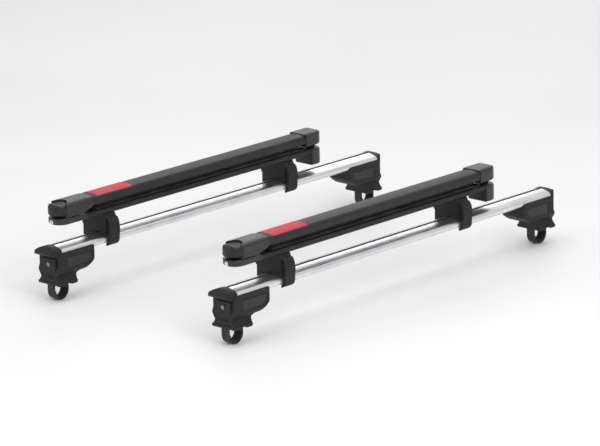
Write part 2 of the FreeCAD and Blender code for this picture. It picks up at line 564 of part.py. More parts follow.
def rail_liners():
    """Rubber round the roof rail: one piece under the tower's foot and one inside the strap."""
    half = STRAP_HALF_WIDTH
    inner, outer = ROOF_RAIL_RADIUS, ROOF_RAIL_RADIUS + LINER
    return [arc_shell(inner, outer, 56, 124, half), arc_shell(inner, outer, 180, 360, half)]


def tower_strap():
    """The steel strap: its T-shaped end sits in the foot, its other end reaches the bolt."""
    inner = ROOF_RAIL_RADIUS + LINER
    outer, axis = inner + STRAP, -ROOF_RAIL_DROP
    wide = STRAP_HALF_WIDTH
    band = arc_shell(inner, outer, 180, 360, wide)
    leg = box(-wide, wide, tower_y(-outer), tower_y(-inner), axis, -56.0)
    tab = box(-wide, wide, tower_y(-outer), tower_y(6), -59.0, -56.0)
    tab = tab.cut(rod(Z_AXIS, (0, tower_y(-6), 0), 4.0, -61.0, -54.0))
    hook = box(-wide, wide, tower_y(inner), tower_y(outer), axis, -72.0)
    head = box(-16.0, 16.0, tower_y(inner - 2), tower_y(outer + 2), -74.0, -70.0)
    return band.fuse(leg).fuse(tab).fuse(hook).fuse(head)


def tower_bolt():
    """The bolt that pulls the strap's tab down towards the foot, and its washer."""
    y = tower_y(-6)
    corners = [(3 * math.cos(math.radians(60 * i)), y + 3 * math.sin(math.radians(60 * i)))
               for i in range(6)]
    head = rod(Z_AXIS, (0, y, 0), 6.5, -52.0, -44.0).cut(prism_z(corners, -48.5, -43.0))
    washer = rod(Z_AXIS, (0, y, 0), 8.5, -56.0, -52.0)
    return head.fuse(washer).fuse(rod(Z_AXIS, (0, y, 0), 4.0, -82.0, -53.0))


# ---------------------------------------------------------------- assembly
def carrier_pieces():
    return {
        "lock_cylinder": lock_cylinder(),
        "hinge_carriage": hinge_carriage(),
        "hinge_springs": hinge_springs(),
        "hinge_pin": hinge_pin(),
        "upper_rail": upper_rail(),
        "upper_pad": pad(UPPER_Z0, -UPPER_PAD),
        "nose_housing": nose_housing(),
        "hinge_cap": hinge_cap(),
        "release_button": release_button(),
        "latch_spring": latch_spring(),
        "label_plate": label_plate(),
        "crossbar": crossbar(),
    }


def assemble():
    """Every node's shape by name; pieces that are alike and fixed share one node."""
    carrier = carrier_pieces()
    mount = {"saddle": saddle(), "clamp_claw": clamp_claw(), "clamp_knob": clamp_knob()}
    tower = {"body": tower_body(), "cover": tower_cover(), "cover_lock": tower_cover_lock()}
    per_carrier = {"lower_rails": [lower_rail()], "lower_pads": [pad(LOWER_Z1, LOWER_PAD)],
                   "latch_bases": [latch_base()], "striker_pins": [striker_pin()],
                   "hinge_towers": hinge_tower(), "crossbar_slot_strips": [slot_strip()]}
    per_mount = {"saddle_pads": [saddle_pad()], "rail_bolts": rail_bolts(0)}
    per_tower = {"tower_straps": [tower_strap()], "tower_rail_liners": rail_liners(),
                 "tower_bolts": [tower_bolt()], "crossbar_end_caps": [crossbar_end_cap()]}
    nodes = {}
    shared = {name: [] for group in (per_carrier, per_mount, per_tower) for name in group}

    def share(group, place):
        for name, shapes in group.items():
            shared[name] += [place(shape) for shape in shapes]

    for end, sign in (("front", 1), ("rear", -1)):
        move = Vector(sign * BAR_SPACING / 2 - BAR_CHORD_MIDDLE, 0, BAR_HEIGHT)
        for name, shape in carrier.items():
            nodes[f"{end}_{name}"] = shape.translated(move)
        share(per_carrier, lambda s: s.translated(move))
        for where, y in MOUNT_Y.items():
            at_mount = move + Vector(0, y, 0)
            for name, shape in mount.items():
                nodes[f"{end}_{where}_{name}"] = shape.translated(at_mount)
            share(per_mount, lambda s: s.translated(at_mount))
        for flank, mirror in (("right", False), ("left", True)):
            def to_flank(shape):
                turned = shape.mirror(ORIGIN, Y_AXIS) if mirror else shape
                return turned.translated(move)

            for name, shape in tower.items():
                nodes[f"{end}_{flank}_tower_{name}"] = to_flank(shape)
            share(per_tower, to_flank)
    for name, shapes in shared.items():
        nodes[name] = Part.Compound(shapes)
    return nodes


def main():
    os.makedirs("parts", exist_ok=True)
    nodes = assemble()
    for name, shape in sorted(nodes.items()):
        for i, solid in enumerate(shape.Solids):
            if not solid.isValid() or solid.Volume <= 0:
                print("not a sound solid:", name, i)
        shape.exportStep(f"parts/{name}.step")
    print(len(nodes), "nodes,", sum(len(s.Solids) for s in nodes.values()), "solids")


main()
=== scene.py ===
import math

import bmesh
import bpy
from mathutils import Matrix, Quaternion, Vector


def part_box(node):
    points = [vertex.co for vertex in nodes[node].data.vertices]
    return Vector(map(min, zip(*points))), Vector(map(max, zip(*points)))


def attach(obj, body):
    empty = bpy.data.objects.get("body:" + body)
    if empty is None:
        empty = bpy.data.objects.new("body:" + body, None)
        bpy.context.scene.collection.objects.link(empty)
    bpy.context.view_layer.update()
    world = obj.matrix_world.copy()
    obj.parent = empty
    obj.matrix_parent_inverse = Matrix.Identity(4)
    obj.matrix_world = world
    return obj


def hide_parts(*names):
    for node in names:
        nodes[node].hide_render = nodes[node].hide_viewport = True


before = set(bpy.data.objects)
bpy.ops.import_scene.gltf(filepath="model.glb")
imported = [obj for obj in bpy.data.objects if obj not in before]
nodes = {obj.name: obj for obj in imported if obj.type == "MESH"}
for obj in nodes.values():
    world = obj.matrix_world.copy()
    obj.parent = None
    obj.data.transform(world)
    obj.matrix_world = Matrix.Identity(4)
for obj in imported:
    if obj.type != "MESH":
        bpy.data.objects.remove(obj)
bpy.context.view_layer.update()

# Looks of the roof ski rack. Metres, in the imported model's frame: +X forward, +Y left, +Z up.
# Named sizes are in millimetres and are multiplied by MM where they are used.
MM = 0.001
ENDS = ("front", "rear")
MOUNTS = ("near", "far")
FLANKS = ("right", "left")

# Heights are measured up from the crossbars' middle.
LOWER_RAIL_Z0 = 64                   # underside of the lower jaw rails
FLAT_ANGLE = math.radians(0.4)       # facets closer than this merge into one face
EDGE_ANGLE = math.radians(32)        # edges sharper than this are rounded
EDGE_SEGMENTS = 2

PAD_HALF_WIDTH = 23.0
PAD_SHOULDER = 4.0                   # how much of each side of a pad curves down
PAD_STEPS = 92
PADS = {"lower": (78, 6.0, 1), "upper": (96, 7.0, -1)}   # rail's face, pad's depth, way it faces
GROOVE_PITCH = 6.5
GROOVE_HALF_WIDTH, GROOVE_DEPTH = 1.95, 2.3
GROOVED_HALF_WIDTH = 16.25           # the part of a pad that has grooves
PAD_LIFT = 0.05                      # the pad's underside clears the rail's face by this
ROOT_HALF_WIDTH, ROOT_TAPER, ROOT_DEPTH = 10.2, 3.4, 1.6   # the root that sits in the channel

KNOB_Z = 36
KNOB_LOBES = 5
KNOB_STEPS = 120

ROOF_RAIL_Y = 578                    # middle of the rack to each roof rail's axis
TOWER_FACE = 31                      # roof rail's axis to a tower's outboard face
PANEL_FACE = 37.2                    # middle of a tower to the floor of its side recess
PANEL_THICKNESS, PANEL_EDGE = 0.75, 0.5
COVER_LOCK_Z = -34
COVER_LOCK_RADIUS, COVER_LOCK_STAND, COVER_LOCK_THICKNESS = 5.5, 0.95, 0.4
KEY_SLOT_HALF_WIDTH, KEY_SLOT_HALF_HEIGHT = 0.8, 3.2
COVER_RIB_HALF_LENGTH, COVER_RIB_HALF_WIDTH, COVER_RIB_CORNER = 13, 0.9, 0.85
COVER_RIB_SINK = 0.3                 # how deep a rib's root sits in the cover
COVER_RIB_THICKNESS, COVER_RIB_EDGE = 1.0, 0.6
COVER_RIB_HEIGHTS = (-70.0, -66.5, -63.0)

BUTTON_CROWN_RADIUS, BUTTON_CROWN_Z = 95.9, 20.8           # the arc over the release button
BUTTON_RIBS = ((-573, 13), (-568.5, 14.5), (-564, 14), (-559.5, 12))   # place along Y, half length
BUTTON_RIB_HALF_WIDTH, BUTTON_RIB_HEIGHT = 0.9, 0.55

# The camera, in metres from the middle of the rack's foot.
CAMERA_PLACE = (7.079, -7.536, 2.960)
CAMERA_AIM = (0.0, 0.0, 0.125)
CAMERA_ROLL = math.radians(-1.3)
CAMERA_LENS = 250


def middle(node):
    low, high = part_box(node)
    return (low + high) / 2


BAR_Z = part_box("lower_rails")[0].z - LOWER_RAIL_Z0 * MM    # height of the crossbars' middle
CARRIER_X = {end: middle(f"{end}_upper_rail").x for end in ENDS}


# ---------------------------------------------------------------- shader graphs
class Shader:
    """A material built from procedural nodes; its methods add nodes and return their outputs."""

    def __init__(self, name, **sockets):
        self.material = bpy.data.materials.new(name)
        self.material.use_nodes = True
        self.tree = self.material.node_tree
        self.bsdf = self.tree.nodes["Principled BSDF"]
        for socket, value in sockets.items():
            self.bsdf.inputs[socket.replace("_", " ")].default_value = value

    def node(self, kind, **settings):
        made = self.tree.nodes.new("ShaderNode" + kind)
        for key, value in settings.items():
            setattr(made, key, value)
        return made

    def feed(self, socket, value):
        if isinstance(value, bpy.types.NodeSocket):
            self.tree.links.new(value, socket)
        else:
            socket.default_value = value

    def point(self, stretch=(1, 1, 1), turn=(0, 0, 0)):
        """The point on the piece, in metres times stretch."""
        mapping = self.node("Mapping")
        self.feed(mapping.inputs["Vector"], self.node("TexCoord").outputs["Object"])
        mapping.inputs["Rotation"].default_value = turn
        mapping.inputs["Scale"].default_value = stretch
        return mapping.outputs["Vector"]

    def noise(self, vector, scale, detail=2.0, roughness=0.5, distortion=0.0):
        made = self.node("TexNoise")
        self.feed(made.inputs["Vector"], vector)
        for key, value in (("Scale", scale), ("Detail", detail), ("Roughness", roughness),
                           ("Distortion", distortion)):
            made.inputs[key].default_value = value
        return made.outputs["Fac"]

    def cells(self, vector, scale):
        """Distance to the nearest of many scattered points."""
        made = self.node("TexVoronoi", feature="F1")
        self.feed(made.inputs["Vector"], vector)
        made.inputs["Scale"].default_value = scale
        return made.outputs["Distance"]

    def remap(self, value, low, high, to_low, to_high):
        made = self.node("MapRange", interpolation_type="SMOOTHSTEP")
        for socket, given in zip(made.inputs[:5], (value, low, high, to_low, to_high)):
            self.feed(socket, given)
        return made.outputs["Result"]

    def spread(self, noise, to_low=0.0, to_high=1.0):
        """Stretches a noise, which seldom leaves 0.3 to 0.7, over a whole range."""
        return self.remap(noise, 0.3, 0.7, to_low, to_high)

    def math(self, operation, a, b):
        made = self.node("Math", operation=operation)
        self.feed(made.inputs[0], a)
        self.feed(made.inputs[1], b)
        return made.outputs[0]

    def weighted(self, a, share_a, b, share_b):
        """The weighted sum of two values."""
        return self.math("ADD", self.math("MULTIPLY", a, share_a), self.math("MULTIPLY", b, share_b))

    def mix(self, share, a, b):
        made = self.node("Mix", data_type="RGBA")
        self.feed(made.inputs["Factor"], share)
        for socket, colour in ((made.inputs[6], a), (made.inputs[7], b)):
            self.feed(socket, colour if isinstance(colour, bpy.types.NodeSocket) else (*colour, 1))
        return made.outputs[2]

    def upward(self, low):
        """1 where the surface faces up, falling to 0 where its normal's Z is low."""
        split = self.node("SeparateXYZ")
        self.feed(split.inputs[0], self.node("NewGeometry").outputs["Normal"])
        return self.remap(split.outputs["Z"], low, 1.0, 0.0, 1.0)

    def bump(self, height, distance, strength, under=None):
        made = self.node("Bump")
        made.inputs["Strength"].default_value = strength
        made.inputs["Distance"].default_value = distance
        self.feed(made.inputs["Height"], height)
        if under is not None:
            self.feed(made.inputs["Normal"], under)
        return made.outputs["Normal"]

    def finish(self, colour, roughness, normal):
        self.feed(self.bsdf.inputs["Base Color"], colour)
        self.feed(self.bsdf.inputs["Roughness"], roughness)
        self.feed(self.bsdf.inputs["Normal"], normal)
        return self.material


def scratches(s, turn, scale):
    """Sparse fine marks, as a mask."""
    lines = s.noise(s.point((1, 0.03, 1), turn), scale, 1.0)
    where = s.noise(s.point(), 24.0, 2.0)
    return s.math("MULTIPLY", s.remap(lines, 0.70, 0.76, 0.0, 1.0), s.remap(where, 0.56, 0.66, 0.0, 1.0))


def coated_rail(name, dark, light, rough=(0.40, 0.54), dust=0.03):
    """Satin coating over an extruded rail: die lines along Y, handling marks and a little dust."""
    s = Shader(name, Specular_IOR_Level=0.28, Coat_Weight=0.04, Coat_Roughness=0.35)
    die = s.noise(s.point((1, 0.004, 1)), 2600.0, 3.0)
    cloud = s.noise(s.point(), 14.0, 4.0, 0.6)
    fleck = s.noise(s.point(), 2200.0, 1.0)
    marks = scratches(s, (0.0, 0.3, 0.5), 1500.0)
    colour = s.mix(s.spread(cloud), dark, light)
    colour = s.mix(s.remap(fleck, 0.55, 0.8, 0.0, 0.35), colour, [c * 1.8 for c in light])
    settled = s.math("MULTIPLY", s.upward(0.7), s.remap(cloud, 0.45, 0.75, 0.0, dust))
    colour = s.mix(settled, colour, (0.30, 0.29, 0.28))
    colour = s.mix(s.math("MULTIPLY", marks, 0.25), colour, (0.11, 0.11, 0.115))
    roughness = s.spread(s.weighted(die, 0.5, cloud, 0.5), *rough)
    normal = s.bump(die, 0.00003, 0.5)
    normal = s.bump(fleck, 0.00002, 0.6, normal)
    return s.finish(colour, roughness, normal)


def moulded(name, dark, light, grain, depth, rough, dust=0.04, coat=0.0):
    """Moulded plastic with an eroded grain, faint flow marks, handling shine and settled dust."""
    s = Shader(name, Specular_IOR_Level=0.30, Coat_Weight=coat, Coat_Roughness=0.3)
    pits = s.cells(s.point(), grain)
    fine = s.noise(s.point(), grain * 1.6, 2.0)
    flow = s.noise(s.point((1, 1, 2.5)), 22.0, 5.0, 0.6, 0.6)
    marks = scratches(s, (0.4, 0.2, 1.2), 1300.0)
    colour = s.mix(s.spread(flow), dark, light)
    colour = s.mix(s.remap(pits, 0.0, 0.5, 0.35, 0.0), colour, [c * 0.45 for c in dark])
    settled = s.math("MULTIPLY", s.upward(0.6), s.remap(flow, 0.42, 0.72, 0.0, dust))
    colour = s.mix(settled, colour, (0.36, 0.35, 0.33))
    colour = s.mix(s.math("MULTIPLY", marks, 0.25), colour, (0.10, 0.10, 0.105))
    roughness = s.spread(s.weighted(flow, 0.6, fine, 0.4), *rough)
    normal = s.bump(pits, depth, 0.7)
    normal = s.bump(fine, depth * 0.5, 0.6, normal)
    return s.finish(colour, roughness, normal)


def extruded_aluminium(name):
    """Clear-anodised aluminium: bright, with die lines along Y, cloudy sheen and hairline marks."""
    s = Shader(name, Metallic=1.0, Coat_Weight=0.1, Coat_Roughness=0.35)
    die = s.noise(s.point((1, 0.003, 1)), 3200.0, 4.0, 0.6)
    cloud = s.noise(s.point(), 9.0, 5.0, 0.6)
    marks = scratches(s, (0.2, 0.1, 0.9), 1700.0)
    colour = s.mix(s.spread(cloud), (0.74, 0.75, 0.77), (0.86, 0.865, 0.875))
    colour = s.mix(s.remap(die, 0.5, 0.75, 0.0, 0.25), colour, (0.60, 0.61, 0.63))
    colour = s.mix(s.math("MULTIPLY", marks, 0.5), colour, (0.93, 0.93, 0.94))
    roughness = s.spread(s.weighted(die, 0.6, cloud, 0.4), 0.24, 0.40)
    return s.finish(colour, roughness, s.bump(die, 0.00004, 0.6))


def rubber(name, dark=(0.012, 0.012, 0.013), light=(0.030, 0.030, 0.031), dust=0.08):
    """Dull rubber: speckled, with bloom on the faces that look up."""
    s = Shader(name, Specular_IOR_Level=0.22, Sheen_Weight=0.04, Sheen_Roughness=0.5)
    speckle = s.noise(s.point(), 1900.0, 3.0, 0.65)
    cloud = s.noise(s.point(), 18.0, 4.0, 0.6)
    colour = s.mix(s.spread(cloud), dark, light)
    colour = s.mix(s.remap(speckle, 0.62, 0.78, 0.0, 0.4), colour, (0.10, 0.10, 0.10))
    settled = s.math("MULTIPLY", s.upward(0.4), s.remap(cloud, 0.4, 0.7, 0.0, dust))
    colour = s.mix(settled, colour, (0.30, 0.29, 0.28))
    return s.finish(colour, s.spread(cloud, 0.62, 0.82), s.bump(speckle, 0.00006, 0.7))


def steel(name, tone=0.62, rough=(0.24, 0.42), stretch=(1, 1, 0.03)):
    """Zinc-plated steel: fine brushed lines, faint spangle and darker tarnish in patches."""
    s = Shader(name, Metallic=1.0)
    brushed = s.noise(s.point(stretch), 2400.0, 3.0)
    tarnish = s.noise(s.point(), 70.0, 5.0, 0.65)
    spangle = s.cells(s.point(), 420.0)
    colour = s.mix(s.remap(tarnish, 0.45, 0.75, 0.0, 0.8), (tone, tone, tone * 1.02),
                   (tone * 0.55, tone * 0.52, tone * 0.48))
    colour = s.mix(s.remap(spangle, 0.1, 0.7, 0.0, 0.25), colour, (0.82, 0.83, 0.85))
    roughness = s.spread(s.weighted(brushed, 0.5, tarnish, 0.5), *rough)
    return s.finish(colour, roughness, s.bump(brushed, 0.00003, 0.6))


def label_film(name):
    """Red film under a clear skin: a little cloudy, with a fine weave and hairline marks."""
    s = Shader(name, Coat_Weight=0.05, Coat_Roughness=0.25, Specular_IOR_Level=0.25)
    cloud = s.noise(s.point(), 26.0, 4.0, 0.55)
    weave = s.noise(s.point((1, 0.2, 1)), 1800.0, 2.0)
    marks = scratches(s, (0.0, 0.1, 0.7), 1500.0)
    colour = s.mix(s.spread(cloud), (0.40, 0.016, 0.030), (0.49, 0.026, 0.042))
    colour = s.mix(s.remap(weave, 0.55, 0.8, 0.0, 0.3), colour, (0.30, 0.010, 0.020))
    colour = s.mix(s.math("MULTIPLY", marks, 0.35), colour, (0.62, 0.30, 0.30))
    return s.finish(colour, s.spread(cloud, 0.42, 0.55), s.bump(weave, 0.00002, 0.5))


def worn(name, base, wear, metallic, rough):
    """The rounded edges of a piece: its own colour, rubbed lighter in patches."""
    s = Shader(name, Metallic=metallic, Specular_IOR_Level=0.35)
    patch = s.noise(s.point(), 180.0, 4.0, 0.65)
    colour = s.mix(s.remap(patch, 0.42, 0.68, 0.0, 1.0), base, wear)
    fine = s.noise(s.point(), 1800.0, 2.0)
    roughness = s.spread(patch, rough + 0.08, rough - 0.06)
    return s.finish(colour, roughness, s.bump(fine, 0.00003, 0.5))


JAW = coated_rail("upper_jaw_coat", (0.015, 0.0125, 0.016), (0.024, 0.020, 0.025))
JAW_EDGE = worn("upper_jaw_edge", (0.026, 0.023, 0.027), (0.060, 0.057, 0.060), 0.0, 0.40)
# The lower jaw has the same satin coating as the upper jaw. Its coat and rounded edges are painted
# darker and greener: painted shade of the gap under the upper jaw.
SHADED_LOWER_JAW = coated_rail("lower_jaw_coat", (0.007, 0.010, 0.0085), (0.013, 0.017, 0.015),
                    (0.42, 0.56), 0.04)
SHADED_LOWER_JAW_EDGE = worn("lower_jaw_edge", (0.015, 0.018, 0.016), (0.045, 0.048, 0.045), 0.0, 0.42)
MOULD = moulded("end_moulding", (0.019, 0.0175, 0.020), (0.031, 0.029, 0.032),
                1300.0, 0.00004, (0.32, 0.46), coat=0.2)
MOULD_EDGE = worn("end_moulding_edge", (0.030, 0.028, 0.031), (0.065, 0.062, 0.065), 0.0, 0.40)
BUTTON = moulded("button_moulding", (0.011, 0.010, 0.012), (0.019, 0.0175, 0.020),
                 1700.0, 0.00004, (0.36, 0.50), 0.03, 0.08)
BUTTON_EDGE = worn("button_edge", (0.022, 0.020, 0.023), (0.070, 0.067, 0.070), 0.0, 0.36)
MOUNT = moulded("mount_nylon", (0.008, 0.008, 0.009), (0.015, 0.015, 0.016),
                1100.0, 0.00006, (0.50, 0.66))
MOUNT_EDGE = worn("mount_nylon_edge", (0.016, 0.016, 0.017), (0.045, 0.045, 0.047), 0.0, 0.46)
KNOB = moulded("knob_nylon", (0.010, 0.010, 0.011), (0.018, 0.018, 0.020),
               900.0, 0.00008, (0.48, 0.62))
TOWER = moulded("tower_nylon", (0.009, 0.0095, 0.0105), (0.016, 0.017, 0.018),
                1000.0, 0.00007, (0.48, 0.62), 0.05)
TOWER_EDGE = worn("tower_nylon_edge", (0.018, 0.019, 0.020), (0.055, 0.055, 0.058), 0.0, 0.44)
PANEL = moulded("tower_panel", (0.021, 0.022, 0.024), (0.033, 0.034, 0.037),
                1500.0, 0.00004, (0.42, 0.56))
CAP = moulded("end_cap_nylon", (0.008, 0.008, 0.009), (0.015, 0.015, 0.016),
              1200.0, 0.00005, (0.42, 0.58))
ALUMINIUM = extruded_aluminium("crossbar_aluminium")
ALUMINIUM_EDGE = worn("crossbar_edge", (0.74, 0.74, 0.76), (0.86, 0.86, 0.87), 1.0, 0.30)
RUBBER = rubber("jaw_pad_rubber")
STRIP = rubber("slot_strip_rubber", (0.012, 0.013, 0.014), (0.026, 0.027, 0.029), 0.05)
LINER = rubber("liner_rubber", (0.010, 0.010, 0.010), (0.020, 0.020, 0.020), 0.03)
STEEL = steel("plated_steel")
BRIGHT = steel("lock_steel", 0.74, (0.16, 0.30), (1, 0.05, 1))
COVER_LOCK = steel("cover_lock_steel", 0.16, (0.34, 0.50), (1, 0.05, 1))
STRAP = moulded("strap_coating", (0.012, 0.012, 0.013), (0.022, 0.022, 0.023),
                1500.0, 0.00003, (0.36, 0.50), 0.03, 0.08)
STRAP_EDGE = worn("strap_edge", (0.024, 0.024, 0.025), (0.10, 0.10, 0.10), 0.2, 0.42)
LABEL = label_film("label_film")
LABEL_EDGE = worn("label_edge", (0.20, 0.010, 0.018), (0.34, 0.06, 0.07), 0.0, 0.44)


# ---------------------------------------------------------------- CAD nodes: rounded edges, finishes
def dress(name, finish, edge, width):
    """Gives a CAD node its finishes, merges its flat facets and rounds its edges by width, if any."""
    piece = nodes[name]
    piece.data.materials.clear()
    piece.data.materials.append(finish)
    piece.data.materials.append(edge)
    for polygon in piece.data.polygons:
        polygon.material_index = 0
        polygon.use_smooth = True
    merge = piece.modifiers.new("merge", "DECIMATE")
    merge.decimate_type = "DISSOLVE"
    merge.angle_limit = FLAT_ANGLE
    if width:
        rounding = piece.modifiers.new("rounding", "BEVEL")
        rounding.width = width * MM
        rounding.segments = EDGE_SEGMENTS
        rounding.limit_method = "ANGLE"
        rounding.angle_limit = EDGE_ANGLE
        rounding.use_clamp_overlap = False
        rounding.miter_outer = "MITER_ARC"
        rounding.material = 1
    weigh = piece.modifiers.new("normals", "WEIGHTED_NORMAL")
    weigh.weight = 60


for end in ENDS:
    dress(f"{end}_upper_rail", JAW, JAW_EDGE, 0.3)
    dress(f"{end}_nose_housing", MOULD, MOULD_EDGE, 0.4)
    dress(f"{end}_hinge_cap", MOULD, MOULD_EDGE, 0.4)
    dress(f"{end}_hinge_carriage", MOUNT, MOUNT_EDGE, 0.4)
    dress(f"{end}_hinge_pin", STEEL, STEEL, 0.3)
    dress(f"{end}_hinge_springs", STEEL, STEEL, 0)
    dress(f"{end}_latch_spring", STEEL, STEEL, 0.15)
    dress(f"{end}_lock_cylinder", BRIGHT, BRIGHT, 0.25)
    dress(f"{end}_release_button", BUTTON, BUTTON_EDGE, 0.5)
    dress(f"{end}_label_plate", LABEL, LABEL_EDGE, 0.15)
    dress(f"{end}_crossbar", ALUMINIUM, ALUMINIUM_EDGE, 0.3)
    for where in MOUNTS:
        dress(f"{end}_{where}_saddle", MOUNT, MOUNT_EDGE, 0.6)
        dress(f"{end}_{where}_clamp_claw", MOUNT, MOUNT_EDGE, 0.5)
    for flank in FLANKS:
        dress(f"{end}_{flank}_tower_body", TOWER, TOWER_EDGE, 0.6)
        dress(f"{end}_{flank}_tower_cover", TOWER, TOWER_EDGE, 0.5)
        dress(f"{end}_{flank}_tower_cover_lock", COVER_LOCK, COVER_LOCK, 0.25)
dress("lower_rails", SHADED_LOWER_JAW, SHADED_LOWER_JAW_EDGE, 0.3)
dress("latch_bases", MOULD, MOULD_EDGE, 0)
dress("hinge_towers", MOULD, MOULD_EDGE, 0.4)
dress("striker_pins", STEEL, STEEL, 0.2)
dress("saddle_pads", LINER, LINER, 0.2)
dress("rail_bolts", STEEL, STEEL, 0.3)
dress("tower_straps", STRAP, STRAP_EDGE, 0.4)
dress("tower_rail_liners", LINER, LINER, 0.3)
dress("tower_bolts", STEEL, STEEL, 0.3)
dress("crossbar_end_caps", CAP, CAP, 0.6)
dress("crossbar_slot_strips", STRIP, STRIP, 0.1)


# ---------------------------------------------------------------- pieces built here
def build(name, vertices, faces, finish, body, slot):
    """Makes a piece that rides on a body; its places are in metres."""
    mesh = bpy.data.meshes.new(name)
    mesh.from_pydata([tuple(v) for v in vertices], [], faces)
    shell = bmesh.new()
    shell.from_mesh(mesh)
    bmesh.ops.remove_doubles(shell, verts=shell.verts, dist=1e-7)
    bmesh.ops.recalc_face_normals(shell, faces=shell.faces)
    shell.to_mesh(mesh)
    shell.free()
    for polygon in mesh.polygons:
        polygon.use_smooth = True
    mesh.materials.append(finish)
    piece = bpy.data.objects.new(name, mesh)
    bpy.context.scene.collection.objects.link(piece)
    piece.modifiers.new("normals", "WEIGHTED_NORMAL")
    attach(piece, body)
    return piece


def loft(rings, closed_ends=True):
    """Vertices and faces of a surface through rings of equal length."""
    count = len(rings[0])
    vertices = [point for ring in rings for point in ring]
    faces = []
    for r in range(len(rings) - 1):
        for i in range(count):
            j = (i + 1) % count
            faces.append((r * count + i, r * count + j, (r + 1) * count + j, (r + 1) * count + i))
    if closed_ends:
        faces.append(tuple(range(count)))
        faces.append(tuple(range((len(rings) - 1) * count, len(rings) * count)))
    return vertices, faces


def ribbed_pad(end, which):
    """A pad's rubber face: soft round ribs along the jaw, rounded off at both ends."""
    node = "lower_pads" if which == "lower" else f"{end}_upper_pad"
    low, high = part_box(node)
    rail_face, depth, up = PADS[which]
    face = BAR_Z + rail_face * MM
    centre = CARRIER_X[end]

    def height(x):
        side = min(1.0, (PAD_HALF_WIDTH - abs(x)) / PAD_SHOULDER)
        rise = 0.60 + 0.40 * math.sin(side * math.pi / 2)
        offset = (x + GROOVE_PITCH / 2) % GROOVE_PITCH - GROOVE_PITCH / 2
        groove = 0.0
        if abs(x) < GROOVED_HALF_WIDTH and abs(offset) < GROOVE_HALF_WIDTH:
            wave = math.cos(math.pi * offset / (2 * GROOVE_HALF_WIDTH))
            groove = GROOVE_DEPTH * max(0.0, wave) ** 1.4
        return depth * rise - groove

    def ring(y, inset, squeeze):
        across = [PAD_HALF_WIDTH * (2 * i / PAD_STEPS - 1) for i in range(PAD_STEPS + 1)]
        section = [(x * (1 - inset), height(x) * squeeze) for x in across]
        root = ROOT_HALF_WIDTH * (1 - inset)
        under = [(PAD_HALF_WIDTH * (1 - inset), PAD_LIFT), (root, PAD_LIFT),
                 (root - ROOT_TAPER, -ROOT_DEPTH)]
        section += under + [(-x, z) for x, z in reversed(under)]
        return [(centre + x * MM, y, face + up * z * MM) for x, z in section]

    ends = [(0.0, 0.035, 0.72), (0.5, 0.016, 0.88), (1.4, 0.004, 0.97), (3.0, 0.0, 1.0)]
    length = (high.y - low.y) / MM
    stations = ends + [(length * t, 0.0, 1.0) for t in (0.25, 0.5, 0.75)]
    stations += [(length - at, inset, squeeze) for at, inset, squeeze in reversed(ends)]
    rings = [ring(low.y + at * MM, inset, squeeze) for at, inset, squeeze in stations]
    body = "rack" if which == "lower" else f"{end}_jaw"
    piece = build(f"{end}_{which}_pad_ribs", *loft(rings), RUBBER, body, "rubber")
    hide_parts(node)


def knob(end, where):
    """The hand knob: soft lobes, a dished face with a raised hub, its collar and its clamp rod."""
    node = f"{end}_{where}_clamp_knob"
    low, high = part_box(node)
    axis = Vector((0, middle(node).y, BAR_Z + KNOB_Z * MM))

    def ring(x, radius, lobe):
        points = []
        for i in range(KNOB_STEPS):
            a = 2 * math.pi * i / KNOB_STEPS
            swell = math.cos(KNOB_LOBES * (a - math.pi / 2))
            r = (radius + lobe * (0.5 + 0.5 * swell) ** 0.8) * MM
            points.append((x, axis.y + r * math.cos(a), axis.z + r * math.sin(a)))
        return points

    # Each row: distance in from the knob's face, radius between the lobes, height of the lobes.
    grip = [(13.0, 10.2, 3.4), (12.2, 11.2, 4.2), (10.6, 11.6, 4.4), (2.6, 11.6, 4.4),
            (1.2, 11.3, 4.2), (0.4, 10.7, 3.9), (0.05, 9.9, 3.6), (0.0, 9.3, 3.2),
            (0.1, 8.9, 2.2), (1.0, 8.3, 1.2), (1.6, 7.6, 0.4), (1.7, 5.6, 0.0),
            (1.0, 5.2, 0.0), (0.7, 4.7, 0.0), (0.5, 2.0, 0.0)]
    length = (high.x - low.x) / MM
    rod = [(12.8, 6.5, 0), (13.6, 6.5, 0), (13.8, 6.2, 0), (13.8, 3.0, 0),
           (length - 0.5, 3.0, 0), (length, 2.5, 0)]
    body = f"{end}_{where}_knob"
    for name, rows, finish, slot in (("grip", grip, KNOB, "knob"), ("rod", rod, STEEL, "steel")):
        rings = [ring(low.x + at * MM, radius, lobe) for at, radius, lobe in rows]
        piece = build(f"{end}_{where}_knob_{name}", *loft(rings), finish, body, slot)
        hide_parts(node)


def rounded_outline(corners, radii):
    """A closed outline through 2-D corners, each rounded to its radius in six steps."""
    steps = 6
    flat = [Vector((*c, 0)) for c in corners]
    outline = []
    for i, corner in enumerate(flat):
        before = (flat[i - 1] - corner).normalized()
        after = (flat[(i + 1) % len(flat)] - corner).normalized()
        half = before.angle(after) / 2
        cut = radii[i] / math.tan(half)
        centre = corner + (before + after).normalized() * (radii[i] / math.sin(half))
        start, end = (corner + along * cut - centre for along in (before, after))
        outline += [centre + start.slerp(end, k / steps) for k in range(steps + 1)]
    return [(p.x, p.y) for p in outline]


def plate(outline, place, thickness, edge):
    """A plate with a rounded front edge; place(a, b, out) gives a point of it, in metres."""
    middle_a = sum(p[0] for p in outline) / len(outline)
    middle_b = sum(p[1] for p in outline) / len(outline)
    reach = max(math.hypot(a - middle_a, b - middle_b) for a, b in outline)

    def ring(inset, out):
        k = 1 - inset / reach
        return [place(middle_a + (a - middle_a) * k, middle_b + (b - middle_b) * k, out)
                for a, b in outline]

    rings = [ring(0, 0), ring(0, thickness - edge), ring(edge * 0.3, thickness - edge * 0.3),
             ring(edge, thickness)]
    return loft(rings)


